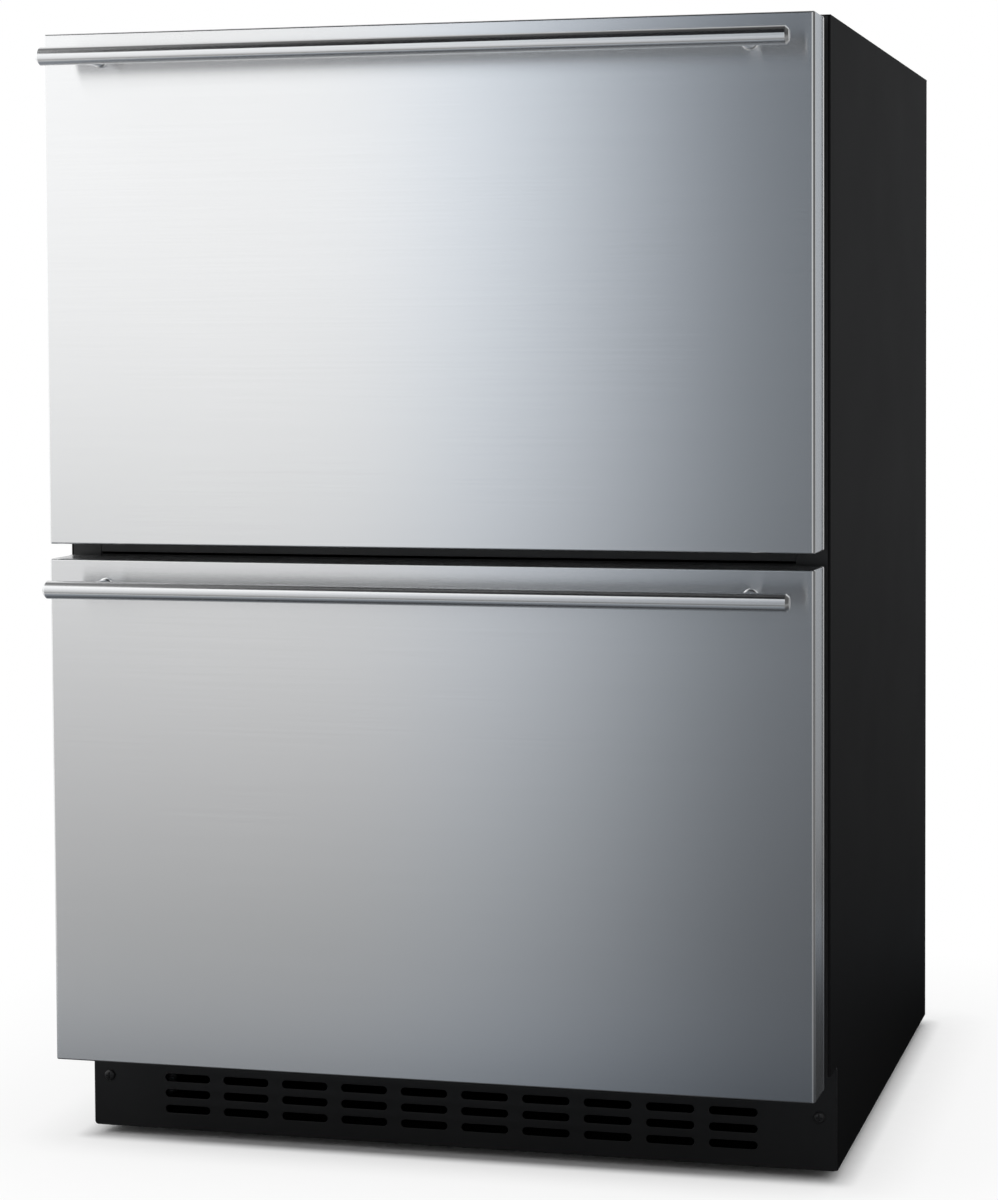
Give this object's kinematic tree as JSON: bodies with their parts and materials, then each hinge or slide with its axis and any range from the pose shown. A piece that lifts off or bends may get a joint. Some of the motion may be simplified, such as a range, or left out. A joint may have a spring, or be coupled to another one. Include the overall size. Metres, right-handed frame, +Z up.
{
  "type": "undercounter drawer freezer",
  "caption": "Undercounter freezer: pull-out drawers behind brushed steel fronts with bar handles, a black cabinet, a recessed vent grille and levelling legs.",
  "frame": {"origin": "on the floor, under the middle of the box that holds the whole object, handles included", "axes": "+Z up; the drawers open towards -Y; +X is to the right seen from the front"},
  "size_m": [0.6, 0.647, 0.87],
  "materials": {
    "stainless": "satin",
    "polished_steel": "polished",
    "black_paint": "satin",
    "zinc_steel": "satin",
    "galvanised": "satin",
    "white_plastic": "satin",
    "foam": "matte",
    "seal_rubber": "matte",
    "soft_rubber": "matte",
    "black_plastic": "matte",
    "clear_bin": "gloss",
    "compressor_paint": "gloss",
    "black_screw": "satin",
    "coil_aluminium": "satin",
    "copper": "satin",
    "motor_steel": "satin",
    "heater_glass": "gloss",
    "glide_plastic": "satin"
  },
  "bodies": {
    "cabinet": {"side_panel_left": "black_paint", "side_panel_right": "black_paint", "top_panel": "black_paint", "rear_panel": "galvanised", "bottom_panel": "galvanised", "foam_insulation": "foam", "inner_liner": "white_plastic", "mullion": "black_paint", "base_pan": "black_paint", "kick_plate": "black_paint", "kick_screws": "black_screw", "bay_cover": "galvanised", "cord_gland": "black_plastic", "compressor": "compressor_paint", "compressor_grommets": "soft_rubber", "compressor_studs": "zinc_steel", "relay_cover": "black_plastic", "condenser": "coil_aluminium", "condenser_fan_shroud": "black_plastic", "condenser_fan_motor": "motor_steel", "drain_pan": "black_plastic", "drain_tube": "white_plastic", "control_box": "black_plastic", "discharge_line": "copper", "evaporator": "coil_aluminium", "evaporator_cover": "white_plastic", "evaporator_fan_motor": "motor_steel", "defrost_heater": "heater_glass", "lower_slide_rails": "zinc_steel", "upper_slide_rails": "zinc_steel"},
    "lower_drawer": {"lower_front_skin": "stainless", "lower_front_foam": "foam", "lower_front_panel": "white_plastic", "lower_gasket": "seal_rubber", "lower_handle_bar": "polished_steel", "lower_handle_posts": "polished_steel", "lower_handle_screws": "zinc_steel", "lower_bin": "clear_bin", "lower_brackets": "zinc_steel", "lower_slide_runners": "zinc_steel"},
    "lower_slide_stage": {"lower_slide_middles": "zinc_steel", "lower_slide_glides": "glide_plastic"},
    "upper_drawer": {"upper_front_skin": "stainless", "upper_front_foam": "foam", "upper_front_panel": "white_plastic", "upper_gasket": "seal_rubber", "upper_handle_bar": "polished_steel", "upper_handle_posts": "polished_steel", "upper_handle_screws": "zinc_steel", "upper_bin": "clear_bin", "upper_brackets": "zinc_steel", "upper_slide_runners": "zinc_steel"},
    "upper_slide_stage": {"upper_slide_middles": "zinc_steel", "upper_slide_glides": "glide_plastic"},
    "condenser_fan": {"condenser_fan_blade": "black_plastic"},
    "evaporator_fan": {"evaporator_fan_blade": "black_plastic"},
    "leg_front_left_body": {"leg_front_left": "zinc_steel"},
    "leg_front_right_body": {"leg_front_right": "zinc_steel"},
    "leg_rear_left_body": {"leg_rear_left": "zinc_steel"},
    "leg_rear_right_body": {"leg_rear_right": "zinc_steel"}
  },
  "joints": [
    {"name": "upper_drawer_travel", "type": "slide", "parent": "cabinet", "child": "upper_drawer", "axis": [0, -1, 0], "range_m": [0, 0.38]},
    {"name": "upper_slide_stage_travel", "type": "slide", "parent": "cabinet", "child": "upper_slide_stage", "axis": [0, -1, 0], "range_m": [0, 0.19]},
    {"name": "lower_drawer_travel", "type": "slide", "parent": "cabinet", "child": "lower_drawer", "axis": [0, -1, 0], "range_m": [0, 0.38]},
    {"name": "lower_slide_stage_travel", "type": "slide", "parent": "cabinet", "child": "lower_slide_stage", "axis": [0, -1, 0], "range_m": [0, 0.19]},
    {"name": "condenser_fan_spin", "type": "hinge", "parent": "cabinet", "child": "condenser_fan", "pos_m": [0.1355, 0.1885, 0.12], "axis": [0, 1, 0], "continuous": true},
    {"name": "evaporator_fan_spin", "type": "hinge", "parent": "cabinet", "child": "evaporator_fan", "pos_m": [0, 0.2355, 0.69], "axis": [0, 1, 0], "continuous": true},
    {"name": "leg_front_left_height", "type": "slide", "parent": "cabinet", "child": "leg_front_left_body", "axis": [0, 0, -1], "range_m": [0, 0.02]},
    {"name": "leg_front_right_height", "type": "slide", "parent": "cabinet", "child": "leg_front_right_body", "axis": [0, 0, -1], "range_m": [0, 0.02]},
    {"name": "leg_rear_left_height", "type": "slide", "parent": "cabinet", "child": "leg_rear_left_body", "axis": [0, 0, -1], "range_m": [0, 0.02]},
    {"name": "leg_rear_right_height", "type": "slide", "parent": "cabinet", "child": "leg_rear_right_body", "axis": [0, 0, -1], "range_m": [0, 0.02]}
  ],
  "couplings": [
    {"joint": "upper_slide_stage_travel", "follows": "upper_drawer_travel", "ratio": 0.5},
    {"joint": "lower_slide_stage_travel", "follows": "lower_drawer_travel", "ratio": 0.5}
  ]
}
